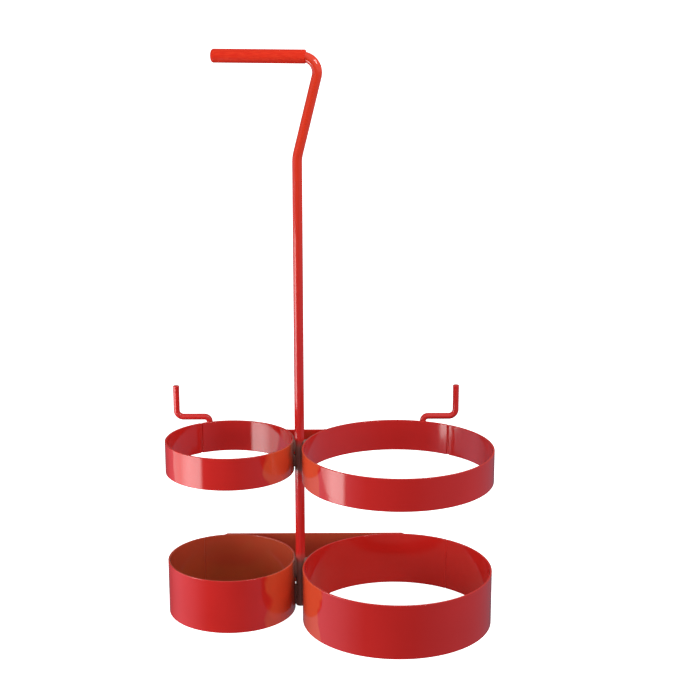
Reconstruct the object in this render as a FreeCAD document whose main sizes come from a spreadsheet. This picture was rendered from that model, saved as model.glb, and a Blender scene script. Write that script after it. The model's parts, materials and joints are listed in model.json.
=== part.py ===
import FreeCAD, Part
import os
import Sketcher
from math import atan2, radians, sin, tan

# Carrier for two gas bottles of a small torch kit, welded from rolled strip, round bar and
# wire. Millimetres, +Z up, +X to the large bottle's side, -Y to the front. The origin is on
# the floor, under the centre of the whole carrier.

SIZES = [
    # alias, value, what it is
    ("band_wall", 1.2, "thickness of every rolled or flat strip"),
    ("edge_round", 0.3, "rounding of the strips' sheared edges"),
    ("small_bore", 77.6, "inner diameter of both rings of the slim bottle"),
    ("large_bore", 115.0, "inner diameter of both rings of the wide bottle"),
    ("root_gap", 0.3, "gap that a weld bridges between two welded pieces"),
    ("lower_band", 34.0, "height of the lower rings"),
    ("upper_band", 20.0, "height of the upper rings"),
    ("upper_level", 92.0, "height of the upper rings' lower edge above the floor"),
    ("seam_width", 1.6, "width of the butt seam in each ring"),
    ("seam_recess", 0.2, "how far the seam bead stays below the ring's inner face"),
    ("seam_rise", 0.3, "how far the seam bead stands above the ring's outer face"),
    ("small_seam_angle", 121.0, "seam direction of the small rings, from +X"),
    ("large_seam_angle", 54.0, "seam direction of the large rings, from +X"),
    ("rod_diameter", 6.0, "main rod"),
    ("rod_lift", 1.5, "height of the rod's foot above the floor"),
    ("bend_drop", 58.8, "how far the rod's lower corner is below the grip's axis"),
    ("lean_angle", 14.2, "lean of the rod's upper run"),
    ("lean_radius", 20.0, "centreline radius of the lower bend"),
    ("handle_radius", 9.0, "centreline radius of the top bend"),
    ("grip_height", 344.8, "height of the grip's axis above the floor"),
    ("rod_reach", 49.6, "how far the rod's end reaches past the rod's axis"),
    ("sleeve_wall", 1.05, "wall of the plastic grip sleeve"),
    ("sleeve_clearance", 0.05, "radial clearance between sleeve and rod"),
    ("sleeve_cap", 1.4, "thickness of the sleeve's closed end"),
    ("sleeve_overlap", 5.5, "how far the sleeve runs past the rod's axis to its open end"),
    ("sleeve_cap_round", 1.7, "rounding of the sleeve's closed end"),
    ("sleeve_lip_round", 0.4, "rounding of the sleeve's open end"),
    ("wire_diameter", 4.0, "hook wire"),
    ("small_hook_angle", 21.3, "hook leg on the small ring, outwards from straight back"),
    ("large_hook_angle", 17.6, "hook leg on the large ring, outwards from straight back"),
    ("hook_rise", 2.6, "height of the hook's arm above the ring's rim"),
    ("hook_reach", 21.0, "length of the hook's arm between the axes of leg and tip"),
    ("hook_tip", 20.7, "height of the hook's tip above its arm"),
    ("hook_leg", 15.0, "length of the hook's leg below the rim"),
    ("hook_leg_radius", 3.2, "centreline radius of the bend over the leg"),
    ("hook_tip_radius", 4.4, "centreline radius of the bend under the tip"),
    ("wire_chamfer", 0.3, "chamfer of the hook's cut end"),
    ("bridge_setback", 18.5, "bridge strip's front face, behind the small ring's centre"),
    ("strip_lap", 6.0, "how far the back strip runs past each tangent point"),
    ("strap_width", 15.0, "width of the support straps under the bottles"),
    ("strap_wall", 2.0, "thickness of the support straps"),
    ("tack_inset", 2.0, "height of the lower tack welds above each ring's lower edge"),
    ("tack_share", 0.4, "length of a tack weld on the rod, as a share of its ring's height"),
    ("tack_radius", 2.3, "half width of a tack weld between small ring and rod"),
    ("wide_tack_radius", 2.9, "half width of a tack weld between large ring and rod"),
    ("bead_radius", 1.5, "half width of the fillet welds on strips and straps"),
    ("hook_bead", 2.2, "half width of the welds on the hook legs"),
]

DERIVED = [
    # name, expression; a name used here stands for the property of the same object
    ("small_outer", "sizes.small_bore / 2 + sizes.band_wall"),
    ("large_outer", "sizes.large_bore / 2 + sizes.band_wall"),
    ("ring_distance", "small_outer + large_outer + sizes.rod_diameter + 2 * sizes.root_gap"),
    ("large_forward", "large_outer - small_outer"),
    ("large_offset", "sqrt(ring_distance ^ 2 - large_forward ^ 2)"),
    ("centre_x", "(large_offset + large_outer - small_outer) / 2"),
    ("back_face", "small_outer + sizes.root_gap + sizes.band_wall"),
    ("centre_y", "(back_face - large_forward - large_outer) / 2"),
    ("small_x", "-centre_x"),
    ("small_y", "-centre_y"),
    ("large_x", "large_offset - centre_x"),
    ("large_y", "-large_forward - centre_y"),
    ("rod_radius", "sizes.rod_diameter / 2"),
    ("rod_x", "small_x + small_outer + sizes.root_gap + rod_radius"),
    ("rod_y", "small_y"),
    ("upper_top", "sizes.upper_level + sizes.upper_band"),
    ("wire_radius", "sizes.wire_diameter / 2"),
    ("arm_height", "upper_top + sizes.hook_rise"),
    ("sleeve_outer", "rod_radius + sizes.sleeve_clearance + sizes.sleeve_wall"),
    ("sleeve_length", "sizes.rod_reach + sizes.sleeve_cap + sizes.sleeve_overlap"),
    ("bend_height", "sizes.grip_height - sizes.bend_drop"),
    ("bend_tangent", "sizes.lean_radius * tan(sizes.lean_angle / 2)"),
    ("handle_tangent", "sizes.handle_radius / tan((90 - sizes.lean_angle) / 2)"),
    ("handle_corner", "sizes.bend_drop * tan(sizes.lean_angle)"),
    ("small_leg", "small_outer + sizes.root_gap + wire_radius"),
    ("large_leg", "large_outer + sizes.root_gap + wire_radius"),
    ("small_leg_x", "small_x - small_leg * sin(sizes.small_hook_angle)"),
    ("small_leg_y", "small_y + small_leg * cos(sizes.small_hook_angle)"),
    ("large_leg_x", "large_x + large_leg * sin(sizes.large_hook_angle)"),
    ("large_leg_y", "large_y + large_leg * cos(sizes.large_hook_angle)"),
    ("bridge_back", "sizes.bridge_setback + sizes.band_wall"),
]

VERTICAL_AXIS = -2
ORIGIN_POINT = (-1, 1)
START, END, CENTRE = 1, 2, 3
UPWARD = FreeCAD.Vector(0, 0, 1)
SAME_HEIGHT = 0.01

doc = FreeCAD.newDocument("bottle_carrier")
sheet = doc.addObject("Spreadsheet::Sheet", "sizes")
for row, (alias, value, meaning) in enumerate(SIZES, start=1):
    sheet.set(f"A{row}", alias)
    sheet.set(f"B{row}", str(value))
    sheet.setAlias(f"B{row}", alias)
    sheet.set(f"C{row}", meaning)
doc.recompute()

layout = doc.addObject("App::VarSet", "layout")
for name, expression in DERIVED:
    layout.addProperty("App::PropertyFloat", name, "derived")
    layout.setExpression(name, expression)
layout.addProperty("App::PropertyAngle", "turn", "derived")
layout.setExpression("turn", "asin(large_forward / ring_distance)")
doc.recompute()

parts = []


def now(expression):
    """Present value of an expression, as a plain number of millimetres or degrees."""
    result = layout.evalExpression(expression)
    return float(getattr(result, "Value", result))


def place(thing, x="0", y="0", z="0", angle=None):
    """Bind a placement: x, y, z and a turn about the vertical are expressions."""
    if angle is not None:
        thing.Placement.Rotation = FreeCAD.Rotation(UPWARD, 1.0)
        thing.setExpression("Placement.Rotation.Angle", angle)
    for axis, expression in (("x", x), ("y", y), ("z", z)):
        thing.setExpression(f"Placement.Base.{axis}", expression)


def keep(thing, label):
    """Name a finished sub-part and put it on the list of parts to write."""
    thing.Label = label
    parts.append(thing)
    return thing


# --- sketches and bodies -------------------------------------------------------------------


def new_sketch(body, name, role):
    """A sketch on one of the body's own origin planes."""
    sketch = body.newObject("Sketcher::SketchObject", name)
    plane = next(item for item in body.Origin.OriginFeatures if item.Role == role)
    sketch.AttachmentSupport = (plane, [""])
    sketch.MapMode = "FlatFace"
    return sketch


def dimension(sketch, expression, kind, *where):
    """Add a driving dimension and bind it to an expression."""
    value = now(expression)
    if kind == "Angle":
        value = radians(value)
    index = sketch.addConstraint(Sketcher.Constraint(kind, *where, value))
    sketch.setExpression(f"Constraints[{index}]", expression)


def circle(sketch, radius):
    """A circle about the sketch's origin; radius is an expression."""
    index = sketch.addGeometry(Part.Circle(FreeCAD.Vector(), UPWARD, now(radius)))
    sketch.addConstraint(Sketcher.Constraint("Coincident", index, CENTRE, *ORIGIN_POINT))
    dimension(sketch, radius, "Radius", index)


def rectangle(sketch, near, far, width):
    """A rectangle across the X axis, from x = near to x = far; all three are expressions."""
    left, right, half = now(near), now(far), now(width) / 2
    corners = [(left, -half), (right, -half), (right, half), (left, half)]
    points = [FreeCAD.Vector(x, y, 0) for x, y in corners]
    sides = [
        sketch.addGeometry(Part.LineSegment(start, end))
        for start, end in zip(points, points[1:] + points[:1])
    ]
    for side, following in zip(sides, sides[1:] + sides[:1]):
        sketch.addConstraint(Sketcher.Constraint("Coincident", side, END, following, START))
    for side, rule in zip(sides, ("Horizontal", "Vertical", "Horizontal", "Vertical")):
        sketch.addConstraint(Sketcher.Constraint(rule, side))
    dimension(sketch, near, "DistanceX", *ORIGIN_POINT, sides[0], START)
    dimension(sketch, far, "DistanceX", *ORIGIN_POINT, sides[0], END)
    dimension(sketch, f"({width}) / 2", "DistanceY", *ORIGIN_POINT, sides[2], START)
    dimension(sketch, width, "DistanceY", sides[1], START, sides[1], END)


def bent_path(body, name, corners, radii):
    """Straight runs through the corners, joined by tangent arcs, in the body's XZ plane.

    corners holds (x, z) pairs and radii one expression for each inner corner. Returns the
    sketch and its runs; the caller adds the runs' own dimensions.
    """
    sketch = new_sketch(body, name, "XZ_Plane")
    points = [FreeCAD.Vector(x, z, 0) for x, z in corners]
    start, runs, bends = points[0], [], []
    for before, corner, after, radius in zip(points, points[1:], points[2:], radii):
        back = (before - corner).normalize()
        ahead = (after - corner).normalize()
        half = back.getAngle(ahead) / 2
        leave = corner + back * (now(radius) / tan(half))
        join = corner + ahead * (now(radius) / tan(half))
        centre = corner + (back + ahead).normalize() * (now(radius) / sin(half))
        angles = [atan2(point.y - centre.y, point.x - centre.x) for point in (leave, join)]
        leftward = ahead.cross(back).z > 0
        ends = (START, END) if leftward else (END, START)
        arc = Part.ArcOfCircle(
            Part.Circle(centre, UPWARD, now(radius)), *(angles if leftward else angles[::-1])
        )
        runs.append(sketch.addGeometry(Part.LineSegment(start, leave)))
        bends.append((sketch.addGeometry(arc), ends, radius))
        start = join
    runs.append(sketch.addGeometry(Part.LineSegment(start, points[-1])))
    for run, following, (arc, ends, radius) in zip(runs, runs[1:], bends):
        sketch.addConstraint(Sketcher.Constraint("Tangent", run, END, arc, ends[0]))
        sketch.addConstraint(Sketcher.Constraint("Tangent", arc, ends[1], following, START))
        dimension(sketch, radius, "Radius", arc)
    return sketch, runs


def pipe(body, kind, profile, path):
    """Carry a profile along a path; kind is AdditivePipe or SubtractivePipe."""
    feature = body.newObject(f"PartDesign::{kind}", profile.Name + "_pipe")
    feature.Profile = profile
    feature.Spine = path
    doc.recompute()
    return feature


def pad(body, sketch, length):
    """Pad a sketch upwards from its plane; length is an expression."""
    feature = body.newObject("PartDesign::Pad", sketch.Name + "_pad")
    feature.Profile = sketch
    feature.setExpression("Length", length)
    doc.recompute()
    return feature


def dress(body, kind, base, wanted, amount):
    """Fillet or chamfer the edges of base for which wanted(edge) holds."""
    names = [f"Edge{i}" for i, edge in enumerate(base.Shape.Edges, start=1) if wanted(edge)]
    feature = body.newObject(f"PartDesign::{kind}", f"{base.Name}_{kind.lower()}")
    feature.Base = (base, names)
    feature.setExpression("Radius" if kind == "Fillet" else "Size", amount)
    doc.recompute()
    return feature


def is_circle(edge):
    return isinstance(edge.Curve, Part.Circle)


def is_upright(edge):
    return edge.BoundBox.ZLength > edge.Length / 2


# --- rings of rolled strip -----------------------------------------------------------------


def make_ring(label, side, level, height, seam_angle):
    """A ring of strip, open at its butt seam, and the weld bead that closes the seam."""
    bore, outer = f"sizes.{side}_bore / 2", f"layout.{side}_outer"
    spot = {"x": f"layout.{side}_x", "y": f"layout.{side}_y"}

    ring = keep(doc.addObject("PartDesign::Body", label), label)
    section = new_sketch(ring, label + "_section", "XY_Plane")
    circle(section, outer)
    circle(section, bore)
    band = pad(ring, section, height)
    rounded = dress(ring, "Fillet", band, is_circle, "sizes.edge_round")
    gap = new_sketch(ring, label + "_gap", "XY_Plane")
    rectangle(
        gap, f"{bore} - sizes.seam_width", f"{outer} + sizes.seam_width", "sizes.seam_width"
    )
    slot = ring.newObject("PartDesign::Pocket", label + "_slot")
    slot.Profile = gap
    slot.Type = "ThroughAll"
    slot.Reversed = True
    doc.recompute()
    if slot.Shape.Volume >= rounded.Shape.Volume:
        raise RuntimeError(f"{label}: the seam was not cut")
    place(ring, z=level, angle=seam_angle, **spot)

    seam = label.replace("ring", "seam")
    bead = keep(doc.addObject("PartDesign::Body", seam), seam)
    bead_section = new_sketch(bead, seam + "_section", "XY_Plane")
    rectangle(
        bead_section,
        f"{bore} + sizes.seam_recess",
        f"{outer} + sizes.seam_rise",
        "sizes.seam_width",
    )
    bar = pad(bead, bead_section, f"{height} - 2 * sizes.edge_round")
    reach = now(outer)
    dress(
        bead,
        "Fillet",
        bar,
        lambda edge: is_upright(edge) and edge.BoundBox.XMin > reach,
        "sizes.seam_rise",
    )
    place(bead, z=f"{level} + sizes.edge_round", angle=seam_angle, **spot)


for level_name, level, height in (
    ("lower", "0", "sizes.lower_band"),
    ("upper", "sizes.upper_level", "sizes.upper_band"),
):
    for side in ("small", "large"):
        make_ring(f"{level_name}_{side}_ring", side, level, height, f"sizes.{side}_seam_angle")


# --- bent rod and its sleeve ---------------------------------------------------------------

corner_point = (now("layout.handle_corner"), now("sizes.grip_height"))
reach_point = (-now("sizes.rod_reach"), now("sizes.grip_height"))
lean = "(90 - sizes.lean_angle) * 1 deg"

rod = keep(doc.addObject("PartDesign::Body", "main_rod"), "main_rod")
rod_section = new_sketch(rod, "rod_section", "XY_Plane")
circle(rod_section, "layout.rod_radius")
rod_section.setExpression("AttachmentOffset.Base.z", "sizes.rod_lift")
foot_point = (0, now("sizes.rod_lift"))
bend_point = (0, now("layout.bend_height"))
rod_path, (upright, leaning, handle) = bent_path(
    rod,
    "rod_path",
    [foot_point, bend_point, corner_point, reach_point],
    ["sizes.lean_radius", "sizes.handle_radius"],
)
rod_path.addConstraint(Sketcher.Constraint("PointOnObject", upright, START, VERTICAL_AXIS))
rod_path.addConstraint(Sketcher.Constraint("Vertical", upright))
rod_path.addConstraint(Sketcher.Constraint("Horizontal", handle))
dimension(rod_path, "sizes.rod_lift", "DistanceY", *ORIGIN_POINT, upright, START)
dimension(
    rod_path, "layout.bend_height - layout.bend_tangent", "DistanceY", *ORIGIN_POINT, upright, END
)
dimension(rod_path, lean, "Angle", leaning)
dimension(rod_path, "sizes.grip_height", "DistanceY", *ORIGIN_POINT, handle, END)
dimension(rod_path, "sizes.rod_reach", "DistanceX", handle, END, *ORIGIN_POINT)
pipe(rod, "AdditivePipe", rod_section, rod_path)
place(rod, "layout.rod_x", "layout.rod_y", "0", "-layout.turn")

sleeve = keep(doc.addObject("PartDesign::Body", "grip_sleeve"), "grip_sleeve")
sleeve_section = new_sketch(sleeve, "sleeve_section", "YZ_Plane")
circle(sleeve_section, "layout.sleeve_outer")
sleeve_section.setExpression("AttachmentOffset.Base.y", "sizes.grip_height")
sleeve_section.setExpression(
    "AttachmentOffset.Base.z", "-(sizes.rod_reach + sizes.sleeve_cap)"
)
tube = pad(sleeve, sleeve_section, "layout.sleeve_length")
middle = tube.Shape.BoundBox.Center.x
capped = dress(
    sleeve,
    "Fillet",
    tube,
    lambda edge: is_circle(edge) and edge.CenterOfMass.x < middle,
    "sizes.sleeve_cap_round",
)
lipped = dress(
    sleeve,
    "Fillet",
    capped,
    lambda edge: is_circle(edge) and edge.CenterOfMass.x > middle,
    "sizes.sleeve_lip_round",
)
hollow_section = new_sketch(sleeve, "hollow_section", "YZ_Plane")
circle(hollow_section, "layout.rod_radius + sizes.sleeve_clearance")
hollow_section.setExpression("AttachmentOffset.Base.y", "sizes.grip_height")
hollow_section.setExpression("AttachmentOffset.Base.z", "-sizes.rod_reach")
lean_point = (
    corner_point[0] - 2 * now("layout.handle_tangent") * sin(radians(now("sizes.lean_angle"))),
    corner_point[1] - 2 * now("layout.handle_tangent"),
)
hollow_path, (inside, beyond) = bent_path(
    sleeve, "hollow_path", [reach_point, corner_point, lean_point], ["sizes.handle_radius"]
)
hollow_path.addConstraint(Sketcher.Constraint("Horizontal", inside))
dimension(hollow_path, "sizes.rod_reach", "DistanceX", inside, START, *ORIGIN_POINT)
dimension(hollow_path, "sizes.grip_height", "DistanceY", *ORIGIN_POINT, inside, START)
dimension(
    hollow_path,
    "sizes.rod_reach + layout.handle_corner - layout.handle_tangent",
    "DistanceX",
    inside,
    START,
    inside,
    END,
)
dimension(hollow_path, "(270 - sizes.lean_angle) * 1 deg", "Angle", beyond)
dimension(hollow_path, "layout.handle_tangent", "Distance", beyond)
hollow = pipe(sleeve, "SubtractivePipe", hollow_section, hollow_path)
if hollow.Shape.Volume >= lipped.Shape.Volume:
    raise RuntimeError("grip_sleeve: the hollow was not cut")
place(sleeve, "layout.rod_x", "layout.rod_y", "0", "-layout.turn")


# --- wire hooks ----------------------------------------------------------------------------


def make_hook(side, direction):
    """A bent wire: leg up the ring's back, arm outwards, tip up. direction is -1 or 1."""
    label = f"{side}_side_hook"
    hook = keep(doc.addObject("PartDesign::Body", label), label)
    section = new_sketch(hook, label + "_section", "XY_Plane")
    circle(section, "layout.wire_radius")
    leg_end = "layout.upper_top - sizes.hook_leg"
    tip_end = "layout.arm_height + sizes.hook_tip"
    section.setExpression("AttachmentOffset.Base.z", leg_end)
    tip_x = direction * now("sizes.hook_reach")
    corners = [
        (0, now(leg_end)),
        (0, now("layout.arm_height")),
        (tip_x, now("layout.arm_height")),
        (tip_x, now(tip_end)),
    ]
    radii = ["sizes.hook_leg_radius", "sizes.hook_tip_radius"]
    path, (leg, arm, tip) = bent_path(hook, label + "_path", corners, radii)
    path.addConstraint(Sketcher.Constraint("PointOnObject", leg, START, VERTICAL_AXIS))
    path.addConstraint(Sketcher.Constraint("Vertical", leg))
    path.addConstraint(Sketcher.Constraint("Horizontal", arm))
    path.addConstraint(Sketcher.Constraint("Vertical", tip))
    across = [(*ORIGIN_POINT, tip, END), (tip, END, *ORIGIN_POINT)][direction < 0]
    dimension(path, leg_end, "DistanceY", *ORIGIN_POINT, leg, START)
    dimension(path, "layout.arm_height", "DistanceY", *ORIGIN_POINT, arm, START)
    dimension(path, "sizes.hook_reach", "DistanceX", *across)
    dimension(path, tip_end, "DistanceY", *ORIGIN_POINT, tip, END)
    wire = pipe(hook, "AdditivePipe", section, path)
    top = wire.Shape.BoundBox.ZMax
    dress(
        hook,
        "Chamfer",
        wire,
        lambda edge: is_circle(edge) and abs(edge.CenterOfMass.z - top) < SAME_HEIGHT,
        "sizes.wire_chamfer",
    )
    place(hook, f"layout.{side}_leg_x", f"layout.{side}_leg_y")


make_hook("small", -1)
make_hook("large", 1)


# --- flat strips, straps and welds ---------------------------------------------------------


def box(name, x, y, z, length, width, height):
    thing = doc.addObject("Part::Box", name)
    for side, expression in (("Length", length), ("Width", width), ("Height", height)):
        thing.setExpression(side, expression)
    place(thing, x, y, z)
    return thing


def cylinder(name, x, y, z, radius, height):
    thing = doc.addObject("Part::Cylinder", name)
    thing.setExpression("Radius", radius)
    thing.setExpression("Height", height)
    place(thing, x, y, z)
    return thing


def combine(kind, name, base, tool):
    thing = doc.addObject(f"Part::{kind}", name)
    thing.Base = base
    thing.Tool = tool
    return thing


def cut_away(name, base, tools):
    """Take each tool from base in turn."""
    for count, tool in enumerate(tools, start=1):
        base = combine("Cut", f"{name}_cut_{count}", base, tool)
    return base


def group(name, things):
    thing = doc.addObject("Part::Compound", name)
    thing.Links = things
    return thing


whole_height = "layout.upper_top"
ring_spot = {side: (f"layout.{side}_x", f"layout.{side}_y") for side in ("small", "large")}
ring_body = {
    side: cylinder(f"{side}_body", *ring_spot[side], "0", f"layout.{side}_outer", whole_height)
    for side in ring_spot
}
rod_body = cylinder(
    "rod_body", "layout.rod_x", "layout.rod_y", "0", "layout.rod_radius", whole_height
)

bridge_bar = box(
    "bridge_bar",
    "layout.small_x",
    "layout.small_y + sizes.bridge_setback",
    "sizes.upper_level",
    "layout.large_offset",
    "sizes.band_wall",
    "sizes.upper_band",
)
bridge_ends = [
    cylinder(
        f"{side}_bridge_end",
        *ring_spot[side],
        "0",
        f"layout.{side}_outer + sizes.root_gap",
        whole_height,
    )
    for side in ring_spot
]
bridge = keep(cut_away("bridge", bridge_bar, bridge_ends), "bridge_strip")

back_strip = keep(
    box(
        "back_strip",
        "layout.small_x - sizes.strip_lap",
        "layout.small_y + layout.small_outer + sizes.root_gap",
        "0",
        "layout.large_offset + 2 * sizes.strip_lap",
        "sizes.band_wall",
        "sizes.lower_band",
    ),
    "back_strip",
)


def make_strap(side):
    """A flat strap across a lower ring's floor, and the beads that hold its two ends."""
    x, y = ring_spot[side]
    bore = f"sizes.{side}_bore / 2"
    bar = box(
        f"{side}_strap_bar",
        f"{x} - {bore}",
        f"{y} - sizes.strap_width / 2",
        "0",
        f"2 * {bore}",
        "sizes.strap_width",
        "sizes.strap_wall",
    )
    shaper = cylinder(f"{side}_strap_end", x, y, "0", f"{bore} - sizes.root_gap", whole_height)
    strap = keep(combine("Common", f"{side}_strap_shape", bar, shaper), f"{side}_support_strap")
    reach = f"sqrt(({bore}) ^ 2 - (sizes.strap_width / 2) ^ 2)"
    blobs = [
        cylinder(
            f"{side}_strap_blob_{count}",
            f"{x} {across} {reach}",
            f"{y} {along} sizes.strap_width / 2",
            "0",
            "sizes.bead_radius",
            "sizes.strap_wall",
        )
        for count, (across, along) in enumerate(("--", "-+", "+-", "++"), start=1)
    ]
    inner = cylinder(f"{side}_strap_bore", x, y, "0", bore, whole_height)
    cut = combine("Cut", f"{side}_strap_beads", group(f"{side}_strap_blobs", blobs), strap)
    keep(combine("Common", f"{side}_strap_weld_shape", cut, inner), f"{side}_strap_welds")


def make_tacks(level_name, side, level, height):
    """Two short welds between a ring and the rod, near the ring's upper and lower edge."""
    x, y = ring_spot[side]
    radius = "sizes.tack_radius" if side == "small" else "sizes.wide_tack_radius"
    apart = f"sqrt((layout.rod_x - {x}) ^ 2 + (layout.rod_y - {y}) ^ 2)"
    share = f"(({apart} + layout.{side}_outer - layout.rod_radius) / 2 / {apart})"
    length = f"sizes.tack_share * {height}"
    feet = (
        f"{level} + sizes.tack_inset",
        f"{level} + {height} - sizes.edge_round - {length}",
    )
    name = f"{level_name}_{side}_tack"
    blobs = [
        cylinder(
            f"{name}_blob_{count}",
            f"{x} + (layout.rod_x - {x}) * {share}",
            f"{y} + (layout.rod_y - {y}) * {share}",
            foot,
            radius,
            length,
        )
        for count, foot in enumerate(feet, start=1)
    ]
    beads = cut_away(name, group(name + "_blobs", blobs), [ring_body[side], rod_body])
    keep(beads, f"{level_name}_{side}_rod_welds")


def make_hook_weld(side):
    """The weld that holds a hook's leg to the ring's outer face."""
    x, y = ring_spot[side]
    leg = (f"layout.{side}_leg_x", f"layout.{side}_leg_y")
    share = f"((layout.{side}_outer + sizes.root_gap / 2) / layout.{side}_leg)"
    blob = cylinder(
        f"{side}_hook_blob",
        f"{x} + ({leg[0]} - {x}) * {share}",
        f"{y} + ({leg[1]} - {y}) * {share}",
        "layout.upper_top - sizes.hook_leg + sizes.edge_round",
        "sizes.hook_bead",
        "sizes.hook_leg - 2 * sizes.tack_inset",
    )
    wire = cylinder(f"{side}_hook_wire", *leg, "0", "layout.wire_radius", whole_height)
    keep(cut_away(f"{side}_hook", blob, [ring_body[side], wire]), f"{side}_hook_weld")


for side in ring_spot:
    make_strap(side)
    make_tacks("lower", side, "0", "sizes.lower_band")
    make_tacks("upper", side, "sizes.upper_level", "sizes.upper_band")
    make_hook_weld(side)



def bridge_blob(side, sign):
    """An upright bead where the bridge's back face meets a ring."""
    x, y = ring_spot[side]
    bridge_y = "layout.small_y + layout.bridge_back"
    return cylinder(
        f"{side}_bridge_blob",
        f"{x} {sign} sqrt(layout.{side}_outer ^ 2 - ({bridge_y} - {y}) ^ 2)",
        bridge_y,
        "sizes.upper_level + sizes.edge_round",
        "sizes.bead_radius",
        "sizes.upper_band - 2 * sizes.edge_round",
    )


bridge_blobs = [bridge_blob("small", "+"), bridge_blob("large", "-")]
bridge_tools = [ring_body["small"], ring_body["large"], bridge]
keep(cut_away("bridge_bead", group("bridge_blobs", bridge_blobs), bridge_tools), "bridge_welds")

strip_blobs = [
    cylinder(
        f"{side}_strip_blob",
        f"layout.{side}_x {sign} sizes.strip_lap",
        "layout.small_y + layout.back_face - sizes.bead_radius",
        "sizes.edge_round",
        "sizes.bead_radius",
        "sizes.lower_band - 2 * sizes.edge_round",
    )
    for side, sign in (("small", "-"), ("large", "+"))
]
strip_tools = [ring_body["small"], ring_body["large"], back_strip]
keep(cut_away("strip_bead", group("strip_blobs", strip_blobs), strip_tools), "back_strip_welds")


# --- checks and output ---------------------------------------------------------------------

doc.recompute()
for thing in doc.Objects:
    if "Invalid" in thing.State or "Error" in thing.State:
        raise RuntimeError(f"{thing.Label} failed: {thing.State}")
for part in parts:
    if part.Shape.isNull() or not part.Shape.isValid() or not part.Shape.Solids:
        raise RuntimeError(f"{part.Label}: shape is not a valid solid")

os.makedirs("parts", exist_ok=True)
for part in parts:
    part.Shape.exportStep(f"parts/{part.Label}.step")
    solids = part.Shape.Solids
    print(f"{part.Label}: {len(solids)} solid(s), {sum(s.Volume for s in solids):.1f} mm3")
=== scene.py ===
"""Enamelled carrier for two gas bottles: rings, a bent rod, hooks, welds and a sleeved grip.

Every size is in metres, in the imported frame: +Z up, +X to the wide bottle's side, -Y to the front.
"""

import json
from math import ceil, cos, pi, radians, sin, sqrt, tan

import bmesh
import bpy
import numpy as np
from bpy.props import FloatProperty, FloatVectorProperty, IntProperty, PointerProperty
from bpy.types import Operator, Panel, PropertyGroup
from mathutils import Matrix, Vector


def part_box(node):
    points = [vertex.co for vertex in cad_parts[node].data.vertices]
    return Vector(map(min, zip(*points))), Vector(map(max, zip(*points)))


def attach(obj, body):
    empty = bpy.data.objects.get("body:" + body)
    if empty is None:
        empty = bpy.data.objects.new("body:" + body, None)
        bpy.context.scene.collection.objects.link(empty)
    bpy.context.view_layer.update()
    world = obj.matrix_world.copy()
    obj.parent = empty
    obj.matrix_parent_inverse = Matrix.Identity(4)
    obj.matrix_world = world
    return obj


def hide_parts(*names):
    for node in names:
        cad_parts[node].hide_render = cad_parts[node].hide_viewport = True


bl_info = {
    "name": "Bottle Carrier",
    "version": (1, 0, 0),
    "blender": (4, 5, 0),
    "location": "View3D > Sidebar > Carrier",
    "description": "Builds an enamelled carrier for two gas bottles around its packed frame",
    "category": "Add Mesh",
}

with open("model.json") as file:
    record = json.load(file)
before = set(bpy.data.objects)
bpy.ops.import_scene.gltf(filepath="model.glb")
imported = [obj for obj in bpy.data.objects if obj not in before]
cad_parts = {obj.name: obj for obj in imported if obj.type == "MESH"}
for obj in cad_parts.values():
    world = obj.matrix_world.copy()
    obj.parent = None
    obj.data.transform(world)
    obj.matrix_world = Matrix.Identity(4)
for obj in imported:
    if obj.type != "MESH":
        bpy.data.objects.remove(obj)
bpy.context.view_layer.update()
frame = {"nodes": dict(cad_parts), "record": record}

MM = 0.001
SIDES = ("small", "large")
RINGS = [(level, side) for level in ("lower", "upper") for side in SIDES]
UP = np.array([0.0, 0.0, 1.0])
SAME_LEVEL = 0.02 * MM
SAME_POINT = 0.002 * MM


def linear(code):
    """Linear RGB of an sRGB hex colour.

    c / 12.92 in the darks, up to 0.04045, and ((c + 0.055) / 1.055) ^ 2.4 above.
    """
    shares = [int(code[start:start + 2], 16) / 255 for start in (0, 2, 4)]
    return [c / 12.92 if c <= 0.04045 else ((c + 0.055) / 1.055) ** 2.4 for c in shares]


def length(name, millimetres, description):
    """A length property that is given in millimetres and kept in metres."""
    return FloatProperty(
        name=name, description=description, default=millimetres * MM, unit="LENGTH", precision=5
    )


def colour(name, code, description):
    """A colour property from an sRGB hex colour."""
    return FloatVectorProperty(
        name=name, description=description, default=linear(code), size=3, subtype="COLOR"
    )


def angle(name, degrees, description):
    """An angle property that is given in degrees."""
    return FloatProperty(
        name=name, description=description, default=radians(degrees), subtype="ANGLE"
    )


def amount(name, value, description):
    """A plain number property."""
    return FloatProperty(name=name, description=description, default=value)


# --- sizes that a user would change ---


class CarrierStripSizes(PropertyGroup):
    """Rolled and flat strip: rings, seams, bridge, back strip and support straps."""

    wall: length("Wall", 1.2, "Thickness of every rolled or flat strip")
    edge: length("Edge rounding", 0.3, "Rounding of the sheared edges under the enamel")
    seam_width: length("Seam width", 1.6, "Width of the butt seam in each ring")
    lower_groove: length("Lower groove", 0.5, "Gap left in the lower rings, ground almost flush")
    upper_groove: length("Upper groove", 1.4, "Gap left in the upper rings")
    lower_recess: length("Lower recess", 0.04, "Depth of the lower seams under the inner face")
    upper_recess: length("Upper recess", 0.2, "Depth of the upper seams under the inner face")
    seam_rise: length("Seam rise", 0.3, "Height of the seam bead over the outer face")
    small_seam: angle("Small seam", 121.0, "Seam direction of the small rings, from +X")
    large_seam: angle("Large seam", 54.0, "Seam direction of the large rings, from +X")
    wobble: length("Wobble", 0.1, "How far the rolls left the rings from a true circle, inwards")
    steps: IntProperty(name="Steps", description="Rows round a ring", default=420, min=60)


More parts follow.
